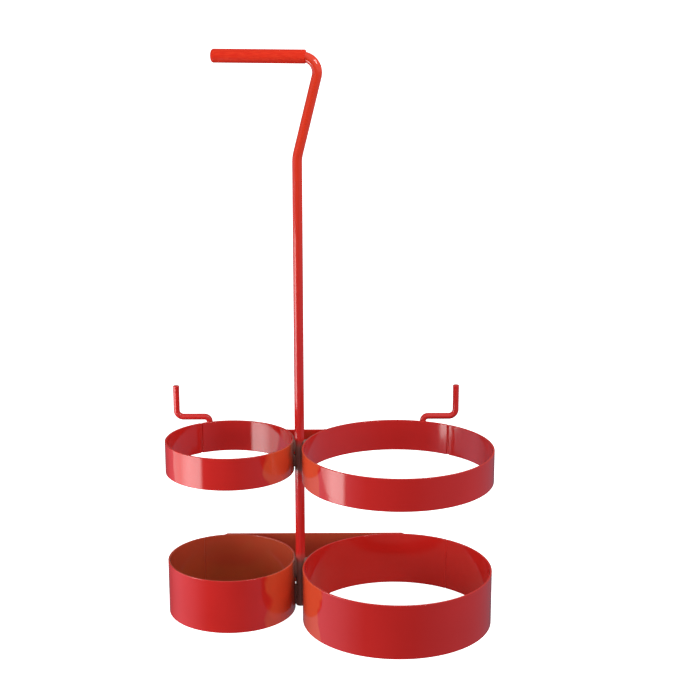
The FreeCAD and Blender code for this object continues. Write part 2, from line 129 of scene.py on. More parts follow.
class CarrierRodSizes(PropertyGroup):
    """The main rod and the sleeve on its handle."""

    radius: length("Radius", 3.0, "Half the main rod's diameter")
    bend_height: length("Bend height", 286.0, "Height of the lower corner above the floor")
    lean: angle("Lean", 14.2, "Lean of the rod's upper run")
    lean_radius: length("Lean radius", 20.0, "Centreline radius of the lower bend")
    handle_radius: length("Handle radius", 9.0, "Centreline radius of the top bend")
    grip_height: length("Grip height", 344.8, "Height of the grip's axis above the floor")
    reach: length("Reach", 49.6, "How far the rod's end reaches past its upright run")
    sleeve_wall: length("Sleeve wall", 1.05, "Wall of the plastic sleeve")
    sleeve_clearance: length("Sleeve clearance", 0.05, "Gap between the sleeve and the rod")
    sleeve_cap: length("Sleeve cap", 1.4, "Thickness of the sleeve's closed end")
    sleeve_overlap: length("Sleeve overlap", 5.5, "How far the sleeve runs past the rod's axis")
    cap_round: length("Cap rounding", 1.7, "Rounding of the sleeve's closed end")
    lip_round: length("Lip rounding", 0.4, "Rounding of the sleeve's open end")


class CarrierHookSizes(PropertyGroup):
    """The two hooks of bent wire."""

    radius: length("Radius", 2.0, "Half the wire's diameter")
    rise: length("Rise", 2.6, "Height of the arm's axis above the rings' rims")
    leg_radius: length("Leg bend", 3.2, "Centreline radius of the bend over the leg")
    tip_radius: length("Tip bend", 4.4, "Centreline radius of the bend under the tip")
    tip_round: length("Tip rounding", 0.35, "Rounding of the cut wire under the enamel")


class CarrierWeldSizes(PropertyGroup):
    """Tack welds and longer beads."""

    tack_share: FloatProperty(
        name="Tack share", description="Length of a tack weld, as a share of its ring's height",
        default=0.4, min=0.1, max=0.45,
    )
    tack_inset: length("Tack inset", 2.0, "Height of the lower tacks above a ring's edge")
    small_tack: length("Small tack", 2.3, "Half width of a tack between small ring and rod")
    large_tack: length("Large tack", 2.9, "Half width of a tack between large ring and rod")
    bead: length("Bead", 1.45, "Half width of the beads on strips and straps")
    hook_bead: length("Hook bead", 2.2, "Half width of the beads on the hook legs")
    ripple: FloatProperty(
        name="Ripple", description="Height of the weld's crescents, as a share of its width",
        default=0.09, min=0.0, max=0.4,
    )
    pitch: length("Pitch", 1.1, "Distance from one weld crescent to the next")


class CarrierFinish(PropertyGroup):
    """Colours of the finishes, and of the painted shade, painted reflections and painted highlight
    laid over them.
    """

    strip_red: colour("Strip red", "DC2A24", "Gloss enamel on the strips")
    strip_deep: colour("Strip deep red", "D4261F", "The same enamel where the film is thick")
    rod_red: colour("Rod red", "DC2C28", "Gloss enamel on round bar and wire")
    # Painted highlight: the rod's upper run is painted brighter and more orange, where the light
    # falls on it most.
    rod_painted_top_light: colour("Rod orange", "F03C1C", "The same enamel where it is thin, up the rod")
    rod_deep: colour("Rod deep red", "D42824", "The same enamel where the film is thick")
    sleeve_red: colour("Sleeve red", "FA3E22", "Soft plastic of the grip sleeve")
    sleeve_deep: colour("Sleeve deep red", "F02E18", "Streaks along the extruded sleeve")
    # Painted shade: the near-black colour of the gaps between the rings and the rod, laid on the rod
    # and on the ring walls close to it.
    painted_gap_shade: colour("Sooted", "96645A", "Enamel in the narrow gap beside the rod, burnt and thin")
    # Painted reflection: the orange of the neighbouring ring mirrored in the walls near the rod,
    # darker there as painted shade.
    painted_reflection_near: colour("Thin, near", "C8502F", "Thin enamel close to the rod")
    # Painted reflection: the brighter orange of the neighbouring ring mirrored further from the rod.
    painted_reflection_far: colour("Thin, far", "E65A34", "Thin enamel further from the rod")
    # Painted shade: the dark brown inside the small lower ring and on the back strip's front face.
    painted_shade_inside: colour("Thin, inside", "BC5236", "Thin enamel inside the small lower ring")
    floor_white: colour("Floor", "F1F1F0", "Matt studio floor")


class CarrierStage(PropertyGroup):
    """Camera and studio light."""

    camera_place: FloatVectorProperty(
        name="Camera place", description="Position of the camera", size=3,
        default=(0.003571, -0.87993, 0.395913), subtype="TRANSLATION", unit="LENGTH", precision=5,
    )
    camera_tilt: angle("Camera tilt", 14.21, "How far the camera looks down")
    camera_turn: angle("Camera turn", 0.63, "How far it looks to the right of straight back")
    lens: amount("Lens", 78.02, "Focal length in millimetres")
    floor_radius: length("Floor radius", 40000.0, "Radius of the studio floor")
    sky: amount("Sky", 1.34, "Brightness of the light tent over the horizon")
    room_tint: colour("Room tint", "E8DCF6", "Colour of the room under the horizon")
    floor_glow: amount("Floor glow", 1.1, "Light that the floor itself gives off")
    top_light: amount("Top light", 1.1, "Power of the softbox over the handle, in watts")
    side_light: amount("Side light", 1.9, "Power of the low softbox on the left, in watts")
    card: amount("Card", 6.0, "Brightness of the light card on the left")


# --- places read from the frame ---

mounts = {mount["name"]: mount for mount in frame["record"]["mounts"]}
centres = {side: np.array([*mounts[f"{side}_bottle_bore"]["pos_m"][:2], 0.0]) for side in SIDES}
bores = {side: mounts[f"{side}_bottle_bore"]["dims"]["r_mm"] * MM for side in SIDES}


def unit(way):
    """A direction at length 1."""
    return way / np.linalg.norm(way)


def heights(node):
    """Lowest and highest z of a CAD node."""
    low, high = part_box(node)
    return low.z, high.z


def end_middle(node, high):
    """Middle of a CAD node's lowest or highest face: the centre of the box of its end vertices."""
    mesh = frame["nodes"][node].data
    points = np.empty(len(mesh.vertices) * 3, np.float32)
    mesh.vertices.foreach_get("co", points)
    points = points.reshape(-1, 3).astype(float)
    level = points[:, 2].max() if high else points[:, 2].min()
    face = points[np.abs(points[:, 2] - level) < SAME_LEVEL]
    return (face.min(axis=0) + face.max(axis=0)) / 2


rod_foot = end_middle("main_rod", high=False)
across_rings = unit(centres["large"] - centres["small"])
handle_side = np.cross(UP, across_rings)


def on_floor(point):
    """The point straight under another one, at z = 0."""
    return point * [1, 1, 0]


# --- surfaces ---

CORNER_STEPS = 5
SUPPORT = 0.12 * MM
TURNED_POINTS = 56
BEAD_POINTS = 28
BEAD_ROWS_PER_CRESCENT = 10
CRESCENT_BEND = 0.8


def bar_outline(width, height, corner):
    """Rounded rectangle as a closed outline of (u, v) points.

    Each corner is a quarter circle about the point one radius inside both flats. A support point
    stands just past each end of the quarter, on the flat, so that the flats shade flat.
    """
    quarter = np.linspace(0, pi / 2, CORNER_STEPS)
    pieces = []
    for turn, (across, along) in enumerate(((1, 1), (-1, 1), (-1, -1), (1, -1))):
        angles = quarter + turn * pi / 2
        arc = corner * np.stack([np.cos(angles), np.sin(angles)], axis=1)
        arc += [across * (width / 2 - corner), along * (height / 2 - corner)]
        first = arc[:1] - SUPPORT * np.array([[-sin(angles[0]), cos(angles[0])]])
        last = arc[-1:] + SUPPORT * np.array([[-sin(angles[-1]), cos(angles[-1])]])
        pieces += [first, arc, last]
    return np.concatenate(pieces)


def round_outline(radius, count=40):
    """Circle as a closed outline of (u, v) points: radius times (cos, sin)."""
    angles = np.arange(count) * 2 * pi / count
    return radius * np.stack([np.cos(angles), np.sin(angles)], axis=1)


def end_rows(rounding):
    """How far in from a bar's end each closing row stands, and how much smaller it is.

    A quarter circle: distance = r (1 - sin a), shrink = r (1 - cos a), from the end face (a = 90
    degrees) to the side (a = 0), then a support row.
    """
    angles = np.linspace(pi / 2, 0, CORNER_STEPS)
    distance = np.append(rounding * (1 - np.sin(angles)), rounding + SUPPORT)
    shrink = np.append(rounding * (1 - np.cos(angles)), 0.0)
    return distance, shrink


def row_factors(outline, inset):
    """Each row's factor on the outline, 1 - inset / half its size, with 0 for both end points."""
    half = np.abs(outline).max(axis=0)
    return np.concatenate([np.zeros((1, 2)), 1 - inset[:, None] / half, np.zeros((1, 2))])


def carried(outline, middle, ahead, side, rounding):
    """Carry an outline along a line and close both ends with rounded edges.

    point = middle + u * side + v * (side x ahead). The end rows shrink the outline towards its
    own middle, and the last row at each end has shrunk to a point.
    """
    distance, shrink = end_rows(rounding)
    side = np.broadcast_to(side, middle.shape)
    spots = np.concatenate(
        [middle[:1], middle[0] + distance[:, None] * ahead[0], middle[1:-1],
         (middle[-1] - distance[:, None] * ahead[-1])[::-1], middle[-1:]]
    )
    repeat = np.concatenate(
        [np.zeros(len(distance) + 1, int), np.arange(1, len(middle) - 1),
         np.full(len(distance) + 1, len(middle) - 1)]
    )
    inset = np.concatenate([shrink, np.zeros(len(middle) - 2), shrink[::-1]])
    sections = outline * row_factors(outline, inset)[:, None, :]
    side, ahead = side[repeat], ahead[repeat]
    up = np.cross(side, ahead)
    return spots[:, None] + sections[..., :1] * side[:, None] + sections[..., 1:] * up[:, None]


def bent_line(corners, radii, spacing=4 * MM, arc_step=radians(4)):
    """Straight runs through the corners, joined by tangent arcs.

    An arc leaves its run radius / tan(half the corner's angle) before the corner, about a centre
    radius / sin(half) from it on the bisector. Returns points and unit directions.
    """
    corners = np.asarray(corners, float)
    points, directions, start = [], [], corners[0]
    for corner, after, radius in zip(corners[1:-1], corners[2:], radii):
        back = unit(start - corner)
        ahead = unit(after - corner)
        half = np.arccos(np.clip(back @ ahead, -1, 1)) / 2
        leave = corner + back * radius / tan(half)
        centre = corner + unit(back + ahead) * radius / sin(half)
        add_run(points, directions, start, leave, spacing)
        outward = (leave - centre) / radius
        sweep = np.linspace(0, pi - 2 * half, ceil((pi - 2 * half) / arc_step) + 1)[:, None]
        points.append(centre + radius * (np.cos(sweep) * outward - np.sin(sweep) * back))
        directions.append(-np.cos(sweep) * back - np.sin(sweep) * outward)
        start = points[-1][-1]
        points[-1], directions[-1] = points[-1][:-1], directions[-1][:-1]
    add_run(points, directions, start, corners[-1], spacing)
    points.append(corners[-1:])
    directions.append(directions[-1][-1:])
    return np.concatenate(points), np.concatenate(directions)


def add_run(points, directions, start, end, spacing):
    """Add a straight run's evenly spaced points, without its last one."""
    reach = np.linalg.norm(end - start)
    share = np.linspace(0, 1, max(ceil(reach / spacing), 2) + 1)[:-1, None]
    points.append(start + share * (end - start))
    directions.append(np.broadcast_to((end - start) / reach, points[-1].shape))


def turned(distance, radius, drop, origin, axis):
    """Circles about an axis: origin + distance * axis + radius * (cos, sin) + drop downwards."""
    angles = np.arange(TURNED_POINTS) * 2 * pi / TURNED_POINTS
    side = np.cross(UP, axis)
    ring = np.cos(angles)[:, None] * side + np.sin(angles)[:, None] * UP
    middle = origin + distance[:, None] * axis - drop[:, None] * UP
    return middle[:, None] + radius[:, None, None] * ring


def strip_between(outline, middle, left, right, rounding):
    """A flat bar along X between two curved ends.

    outline holds (y, z) points about middle. Every point runs from left(y) to right(y), so the
    ends follow what they are welded to.
    """
    distance, shrink = end_rows(rounding)
    y, z = outline.T + np.asarray(middle)[:, None]
    factors = row_factors(outline, np.concatenate([shrink, shrink[::-1]]))
    section = outline * factors[:, None, :] + middle
    from_left = np.concatenate([[0.0], distance])[:, None]
    x = np.concatenate([left(y) + from_left, (right(y) - from_left)[::-1]])
    x[0], x[-1] = left(middle[0]), right(middle[0])
    return np.stack([x, section[..., 0], section[..., 1]], axis=-1)


# How square each kind of bead is at its ends: 2 is an ellipse.
FULLNESS = {"seam": 24.0, "tack": 2.8, "hook": 7.0, "bridge": 14.0, "back": 16.0, "strap": 3.0}


def weld(middle, half, turn, kind, phase):
    """A bead of weld, upright, as rows of ellipses.

    At height z the ellipse is half wide, times (1 - |z / h| ^ p) ^ (1 / p) with p the fullness.
    Crescents add ripple * |sin|, and bend downwards round the bead.
    """
    sizes = bpy.context.scene.carrier_weld
    fullness, ripple, pitch = FULLNESS[kind], sizes.ripple, sizes.pitch
    rows = max(20, ceil(BEAD_ROWS_PER_CRESCENT * half[2] / pitch))
    lift = np.sin(np.linspace(-pi / 2, pi / 2, rows))[:, None]
    angles = (np.arange(BEAD_POINTS) * 2 * pi / BEAD_POINTS)[None, :]
    shrink = (1 - np.abs(lift) ** fullness).clip(0) ** (1 / fullness)
    bend = CRESCENT_BEND * np.cos(2 * angles)
    crescents = np.abs(np.sin(pi * lift * half[2] / pitch + phase + bend))
    size = shrink * (1 - ripple + ripple * crescents)
    u, v = size * half[0] * np.cos(angles), size * half[1] * np.sin(angles)
    z = np.broadcast_to(lift * half[2], u.shape)
    points = np.stack([u * cos(turn) - v * sin(turn), u * sin(turn) + v * cos(turn), z], axis=-1)
    return points + middle


def quads(rows):
    """Corner numbers of the quads between neighbouring rows, each row a closed loop."""
    count, width = rows.shape[:2]
    row = np.arange(count - 1)[:, None] * width
    here = np.arange(width)[None, :]
    ahead = (here + 1) % width
    corners = [row + here, row + ahead, row + width + ahead, row + width + here]
    return np.stack(corners, -1).reshape(-1, 4)


def outward(points, faces):
    """Faces turned to point outwards: their signed volume, a sum of p0 . (p1 x p2), is positive."""
    a, b, c, d = (points[faces[:, corner]] for corner in range(4))
    volume = np.sum(a * np.cross(b, c)) + np.sum(a * np.cross(c, d))
    return faces if volume > 0 else faces[:, ::-1]


def add_piece(node, shells, material):
    """Make one smooth mesh of closed shells, merge its poles, and let it stand for its CAD node."""
    points, faces, count = [], [], 0
    for rows in shells:
        flat = rows.reshape(-1, 3)
        points.append(flat)
        faces.append(outward(flat - flat.mean(axis=0), quads(rows)) + count)
        count += len(flat)
    points, faces = np.concatenate(points), np.concatenate(faces)
    mesh = bpy.data.meshes.new(node + "_formed")
    mesh.vertices.add(len(points))
    mesh.vertices.foreach_set("co", points.astype(np.float32).ravel())
    mesh.loops.add(faces.size)
    mesh.loops.foreach_set("vertex_index", faces.astype(np.int32).ravel())
    mesh.polygons.add(len(faces))
    mesh.polygons.foreach_set("loop_start", np.arange(0, faces.size, 4, dtype=np.int32))
    mesh.update(calc_edges=True)
    merged = bmesh.new()
    merged.from_mesh(mesh)
    bmesh.ops.remove_doubles(merged, verts=merged.verts, dist=SAME_POINT)
    merged.to_mesh(mesh)
    merged.free()
    mesh.polygons.foreach_set("use_smooth", np.ones(len(mesh.polygons), bool))
    mesh.validate()
    mesh.materials.append(material)
    piece = bpy.data.objects.new(node + "_formed", mesh)
    bpy.context.scene.collection.objects.link(piece)
    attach(piece, "root")
    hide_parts(node)
    return piece


# --- materials ---


# Widths of the noise, and places and reaches of the painted shade, painted reflections and painted
# highlight.
WHITE = (1.0, 1.0, 1.0, 1.0)
FILM_WIDTH = 35 * MM
DUST_WIDTH = 0.9 * MM
DUSTY = 1.8
SLEEVE_LINES, SLEEVE_BLOOM, FLOOR_GRAIN = 0.8 * MM, 6 * MM, 30 * MM
PATCH_WIDTH = 14 * MM
PATCH_REACH = 66 * MM
RAGGED = 0.3
PATCH_MIDDLE = np.array([8.0, -24.0, 0.0]) * MM  # from the rod's foot
BACK_PATCH = (-0.1 * MM, 0.2 * MM)  # from the back strip's front face
BETWEEN_LEVELS = 60 * MM
ROD_MARGIN = 2 * MM
# Painted shade on the rod where it runs through the gaps beside the rings, by height.
GAP_SHADE_TOP = 200 * MM
GAP_SHADE_COVER = (  # height in millimetres and cover: beside the lower rings, then the upper ones
    (0, 0.95), (30, 0.95), (38, 0.0), (89, 0.0), (93, 0.95), (107, 0.95), (112, 0.0),
)
# Heights over which the rod's painted highlight comes in, brighter and more orange towards the top.
TOP_LIGHT_RUN = (170 * MM, 300 * MM)


def add_node(tree, kind, inputs=None, **settings):
    """Add a node with its settings. An input that is given a socket is linked, others are set."""
    item = tree.nodes.new(kind)
    for name, value in settings.items():
        setattr(item, name, value)
    for name, value in (inputs or {}).items():
        if isinstance(value, bpy.types.NodeSocket):
            tree.links.new(value, item.inputs[name])
        else:
            item.inputs[name].default_value = value
    return item


def coordinates(tree, kind):
    """Coordinates of the given kind."""
    return add_node(tree, "ShaderNodeTexCoord").outputs[kind]


def split(tree, place):
    """The X, Y and Z of a vector."""
    return add_node(tree, "ShaderNodeSeparateXYZ", {"Vector": place}).outputs


def maths(tree, operation, first, second):
    """Result of one operation on two values."""
    item = add_node(tree, "ShaderNodeMath", {0: first, 1: second}, operation=operation)
    return item.outputs["Value"]


def vector(tree, operation, first, second=(0.0, 0.0, 0.0)):
    """Outputs of one operation on two vectors."""
    return add_node(
        tree, "ShaderNodeVectorMath", {0: first, 1: second}, operation=operation
    ).outputs


def scaled(tree, value, low, high, to_low=0.0, to_high=1.0):
    """A value carried from the range low..high to another range, and held inside it."""
    limits = {"From Min": low, "From Max": high, "To Min": to_low, "To Max": to_high}
    return add_node(tree, "ShaderNodeMapRange", {"Value": value, **limits}).outputs["Result"]


def noise(tree, place, width, detail):
    """Noise whose features are about as wide as width."""
    inputs = {"Vector": place, "Scale": 1 / width, "Detail": detail}
    return add_node(tree, "ShaderNodeTexNoise", inputs).outputs["Fac"]


def bumps(tree, height, distance):
    """Normals of a surface that is raised by height times distance."""
    inputs = {"Height": height, "Strength": 1.0, "Distance": distance}
    return add_node(tree, "ShaderNodeBump", inputs).outputs["Normal"]


def colour_ramp(tree, value, stops):
    """Outputs of a ramp with stops of position, colour and cover (its alpha)."""
    ramp = add_node(tree, "ShaderNodeValToRGB", {"Fac": value})
    elements = ramp.color_ramp.elements
    while len(elements) < len(stops):
        elements.new(1.0)
    for element, (position, shade, cover) in zip(elements, stops):
        element.position = position
        element.color = (*shade, cover)
    return ramp.outputs


def grey_ramp(tree, value, stops):
    """Colour output of a ramp with stops of position and brightness."""
    shades = [(position, (grey, grey, grey), 1.0) for position, grey in stops]
    return colour_ramp(tree, value, shades)["Color"]


def finished(material, tree, inputs):
    """Close a material with one Principled shader."""
    shader = add_node(tree, "ShaderNodeBsdfPrincipled", inputs)
    add_node(tree, "ShaderNodeOutputMaterial", {"Surface": shader.outputs["BSDF"]})
    return material


def laid_over(tree, under, ramp, share):
    """Mix a ramp's colour over another colour, by the ramp's alpha times a share."""
    mix = add_node(tree, "ShaderNodeMix", data_type="RGBA")
    factor, first, second = (
        socket for socket in mix.inputs if socket.enabled and socket.name in ("Factor", "A", "B")
    )
    tree.links.new(maths(tree, "MULTIPLY", ramp["Alpha"], share), factor)
    tree.links.new(under, first)
    tree.links.new(ramp["Color"], second)
    return next(socket for socket in mix.outputs if socket.enabled)


def distance_to(tree, place, middle):
    """Level distance from an upright axis through middle: the length of (x, y)."""
    away = vector(tree, "SUBTRACT", place, tuple(middle))["Vector"]
    level = vector(tree, "MULTIPLY", away, (1.0, 1.0, 0.0))["Vector"]
    return vector(tree, "LENGTH", level)["Value"]


def strip_painted_shade_and_reflection(tree, place, under):
    """Painted shade and painted reflections: painted shade in the gaps beside the rod, orange
    painted reflections of the neighbouring ring further out, and painted shade inside the small
    lower ring and on the back strip's front face.

    Each patch is a distance plus noise, so that its edge is ragged. The noise adds 0 to 20 mm.
    """
    finish = bpy.context.scene.carrier_finish
    middle_of_wall = bpy.context.scene.carrier_strip.wall / 2
    axes = split(tree, place)
    patches = noise(tree, place, PATCH_WIDTH, 1.0)
    uneven = maths(tree, "MULTIPLY", patches, RAGGED)

    def patch(middle, stops):
        near = scaled(tree, distance_to(tree, place, middle), 0.0, PATCH_REACH)
        return colour_ramp(tree, maths(tree, "ADD", near, uneven), stops)

    # Painted shade close to the rod, fading into an orange painted reflection of the neighbouring
    # ring.
    near = patch(rod_foot, [
        (0.24, finish.painted_gap_shade, 1.0), (0.31, finish.painted_reflection_near, 1.0), (0.4, finish.painted_reflection_near, 0.0),
    ])
    # A brighter orange painted reflection of the neighbouring ring, further out.
    far = patch(
        rod_foot + PATCH_MIDDLE, [(0.54, finish.painted_reflection_far, 0.8), (0.58, finish.painted_reflection_far, 0.0)]
    )
    # Painted shade inside the small lower ring and on the back strip's front face.
    inside = colour_ramp(
        tree, patches, [(0.2, finish.painted_shade_inside, 0.75), (0.8, finish.painted_shade_inside, 0.95)]
    )
    walls = {side: bores[side] + middle_of_wall for side in SIDES}
    from_axis = {side: distance_to(tree, place, centres[side]) for side in SIDES}
    outside = maths(
        tree, "MULTIPLY",
        *(maths(tree, "GREATER_THAN", from_axis[side], walls[side]) for side in SIDES),
    )
    in_bore = maths(tree, "LESS_THAN", from_axis["small"], walls["small"])
    back_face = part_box("back_strip")[0].y
    at_back = maths(
        tree, "MULTIPLY",
        maths(tree, "GREATER_THAN", axes["Y"], back_face + BACK_PATCH[0]),
        maths(tree, "LESS_THAN", axes["Y"], back_face + BACK_PATCH[1]),
    )
    painted_shade_mask = maths(
        tree, "MULTIPLY", maths(tree, "MAXIMUM", in_bore, at_back),
        maths(tree, "LESS_THAN", axes["Z"], BETWEEN_LEVELS),
    )
    under = laid_over(tree, under, inside, painted_shade_mask)
    under = laid_over(tree, under, far, outside)
    return laid_over(tree, under, near, outside)


def bar_painted_shade_and_highlight(tree, place, under):
    """Painted shade on the rod in the gaps beside the rings, and a painted highlight that makes its
    upper run brighter and more orange.
    """
    finish = bpy.context.scene.carrier_finish
    beside_rod = bpy.context.scene.carrier_rod.radius + ROD_MARGIN
    on_rod = maths(tree, "LESS_THAN", distance_to(tree, place, rod_foot), beside_rod)
    axes = split(tree, place)
    painted_gap_shade = colour_ramp(
        tree, scaled(tree, axes["Z"], 0.0, GAP_SHADE_TOP),
        [(z * MM / GAP_SHADE_TOP, finish.painted_gap_shade, cover) for z, cover in GAP_SHADE_COVER],
    )
    # Painted highlight: brighter and more orange up the rod.
    orange = colour_ramp(
        tree, scaled(tree, axes["Z"], *TOP_LIGHT_RUN),
        [(0.0, finish.rod_painted_top_light, 0.0), (1.0, finish.rod_painted_top_light, 1.0)],
    )
    return laid_over(tree, laid_over(tree, under, orange, 1.0), painted_gap_shade, on_rod)


def new_material(name):
    """An empty node material and its tree, or None for the tree if it was made before."""
    known = bpy.data.materials.get(name)
    if known:
        return known, None
    material = bpy.data.materials.new(name)
    material.use_nodes = True
    material.node_tree.nodes.clear()
    return material, material.node_tree


def gloss_enamel(name, light, deep, painted_light, peel, peel_height, roughness):
    """Stoved gloss enamel over steel: a smooth film, so it mirrors the lights, with orange peel.

    The film is a little deeper in colour where it ran thick, its surface has the shallow waves of
    sprayed paint (peel wide, peel_height high), and dust leaves it duller in fine patches.
    """
    material, tree = new_material(name)
    if tree is None:
        return material
    place = coordinates(tree, "Object")
    film = noise(tree, place, FILM_WIDTH, 1.0)
    enamel = colour_ramp(tree, film, [(0.3, light, 1.0), (0.75, deep, 1.0)])["Color"]
    waves = noise(tree, place, peel, 1.0)
    dust = noise(tree, place, DUST_WIDTH, 3.0)
    # The base colour takes the painted shade, painted reflections and painted highlight of the given
    # function.
    return finished(material, tree, {
        "Base Color": painted_light(tree, place, enamel), "IOR": 1.52,
        "Roughness": scaled(tree, dust, 0.35, 0.75, roughness, roughness * DUSTY),
        "Normal": bumps(tree, waves, peel_height),
    })


def strip_enamel():
    """Red gloss enamel on cold-rolled strip."""
    finish = bpy.context.scene.carrier_finish
    return gloss_enamel(
        "red_stoved_enamel_on_strip", finish.strip_red, finish.strip_deep, strip_painted_shade_and_reflection,
        peel=2.4 * MM, peel_height=0.012 * MM, roughness=0.07,
    )


def rod_enamel():
    """The same enamel on drawn bar and wire, with painted shade and a brighter, more orange painted
    highlight up the rod.
    """
    finish = bpy.context.scene.carrier_finish
    return gloss_enamel(
        "red_stoved_enamel_on_bar", finish.rod_red, finish.rod_deep, bar_painted_shade_and_highlight,
        peel=1.6 * MM, peel_height=0.010 * MM, roughness=0.09,
    )


def weld_enamel():
    """The same enamel over weld metal: rougher, with spatter and pores under the film, and the
    strips' painted shade and painted reflections.
    """
    finish = bpy.context.scene.carrier_finish
    return gloss_enamel(
        "red_stoved_enamel_on_weld", finish.strip_red, finish.strip_deep, strip_painted_shade_and_reflection,
        peel=0.7 * MM, peel_height=0.05 * MM, roughness=0.38,
    )


def sleeve_plastic():
    """Plasticised PVC tube, extruded: satin, with faint lines along its length and a soft bloom."""
    material, tree = new_material("extruded_soft_pvc")
    if tree is None:
        return material
    finish = bpy.context.scene.carrier_finish
    place = coordinates(tree, "Object")
    turn = np.arctan2(across_rings[1], across_rings[0])
    along = add_node(
        tree, "ShaderNodeMapping",
        {"Vector": place, "Rotation": (0.0, 0.0, -turn), "Scale": (0.03, 1.0, 1.0)},
        vector_type="POINT",
    ).outputs["Vector"]
    lines = noise(tree, along, SLEEVE_LINES, 2.0)
    bloom = noise(tree, place, SLEEVE_BLOOM, 3.0)
    plastic = colour_ramp(
        tree, lines, [(0.3, finish.sleeve_deep, 1.0), (0.7, finish.sleeve_red, 1.0)]
    )["Color"]
    return finished(material, tree, {
        "Base Color": plastic, "IOR": 1.53, "Specular IOR Level": 0.12,
        "Roughness": scaled(tree, bloom, 0.3, 0.7, 0.38, 0.52),
        "Normal": bumps(tree, lines, 0.03 * MM),
    })


def floor_paint():
    """Matt white emulsion: it scatters light evenly and mirrors nothing."""
    material, tree = new_material("matt_white_floor_paint")
    if tree is None:
        return material
    scene = bpy.context.scene
    place = coordinates(tree, "Object")
    grain = noise(tree, place, FLOOR_GRAIN, 2.0)
    return finished(material, tree, {
        "Base Color": (*scene.carrier_finish.floor_white, 1.0), "Specular IOR Level": 0.1,
        "Roughness": scaled(tree, grain, 0.0, 1.0, 0.85, 0.95),
        "Emission Color": WHITE, "Emission Strength": scene.carrier_stage.floor_glow,
    })


def card_board(name, code):
    """Matt coloured cardboard: it gives its colour to the light that it sends back."""
    material, tree = new_material(name)
    return finished(
        material, tree,
        {"Base Color": (*linear(code), 1.0), "Roughness": 0.8, "Specular IOR Level": 0.1},
    )


# --- operators ---


SEAM_EDGE = 0.8


def spokes(angles):
    """Level unit directions at the given angles from +X: (cos, sin, 0)."""
    return np.stack([np.cos(angles), np.sin(angles), 0 * angles], axis=1)


def inwards(angles, number, wobble):
    """How a rolled ring stands off its true circle: between -wobble and 0, in two slow waves.

    wobble * (cos(2a + n) + 0.5 cos(5a + 2.1n) - 1.5) / 3, with n the ring's number.
    """
    waves = np.cos(2 * angles + number) + 0.5 * np.cos(5 * angles + 2.1 * number)
    return wobble * (waves - 1.5) / 3


class CARRIER_OT_rings(Operator):
    """Roll the four rings from strip, each open at its butt seam"""

    bl_idname = "carrier.rings"
    bl_label = "Rings"
    bl_options = {"REGISTER", "UNDO"}

    def execute(self, context):
        sizes = context.scene.carrier_strip
        material = strip_enamel()
        for number, (level, side) in enumerate(RINGS):
            node = f"{level}_{side}_ring"
            low, high = heights(node)
            radius = bores[side] + sizes.wall / 2
            gap = getattr(sizes, f"{level}_groove") / 2 / radius
            angles = getattr(sizes, f"{side}_seam") + np.linspace(gap, 2 * pi - gap, sizes.steps)
            side_way = spokes(angles)
            ahead = np.cross(UP, side_way)
            rolled = radius + inwards(angles, number, sizes.wobble)
            middle = centres[side] + side_way * rolled[:, None]
            middle[:, 2] = (low + high) / 2
            outline = bar_outline(sizes.wall, high - low, sizes.edge)
            rows = carried(outline, middle, ahead, side_way, sizes.edge * SEAM_EDGE)
            add_piece(node, [rows], material)
        return {"FINISHED"}


class CARRIER_OT_seams(Operator):
    """Lay the weld bead into each ring's butt seam"""

    bl_idname = "carrier.seams"
    bl_label = "Ring seams"
    bl_options = {"REGISTER", "UNDO"}

    def execute(self, context):
        sizes = context.scene.carrier_strip
        material = weld_enamel()
        for number, (level, side) in enumerate(RINGS):
            node = f"{level}_{side}_seam"
            low, high = heights(node)
            angle = getattr(sizes, f"{side}_seam")
            inner = bores[side] + getattr(sizes, f"{level}_recess")
            outer = bores[side] + sizes.wall + sizes.seam_rise
            way = np.array([cos(angle), sin(angle), 0.0])
            middle = centres[side] + way * (inner + outer) / 2 + UP * (low + high) / 2
            half = ((outer - inner) / 2, sizes.seam_width / 2, (high - low) / 2)
            rows = weld(middle, half, angle, "seam", number)
            add_piece(node, [rows], material)
        return {"FINISHED"}


ROD_END_ROUND = 0.4 * MM


def handle_corner(sizes):
    """How far from the upright run the handle's corner lies: tan(lean) times the leaning rise."""
    return tan(sizes.lean) * (sizes.grip_height - sizes.bend_height)


class CARRIER_OT_rod(Operator):
    """Bend the main rod: upright run, leaning run and handle"""

    bl_idname = "carrier.rod"
    bl_label = "Main rod"
    bl_options = {"REGISTER", "UNDO"}

    def execute(self, context):
        sizes = context.scene.carrier_rod
        corner = handle_corner(sizes)
        foot = on_floor(rod_foot)
        corners = [
            rod_foot,
            foot + UP * sizes.bend_height,
            foot + across_rings * corner + UP * sizes.grip_height,
            foot - across_rings * sizes.reach + UP * sizes.grip_height,
        ]
        middle, ahead = bent_line(corners, [sizes.lean_radius, sizes.handle_radius])
        rows = carried(round_outline(sizes.radius), middle, ahead, handle_side, ROD_END_ROUND)
        add_piece("main_rod", [rows], rod_enamel())
        return {"FINISHED"}


ROUND_STEPS = 9
RUN_STEPS = 24


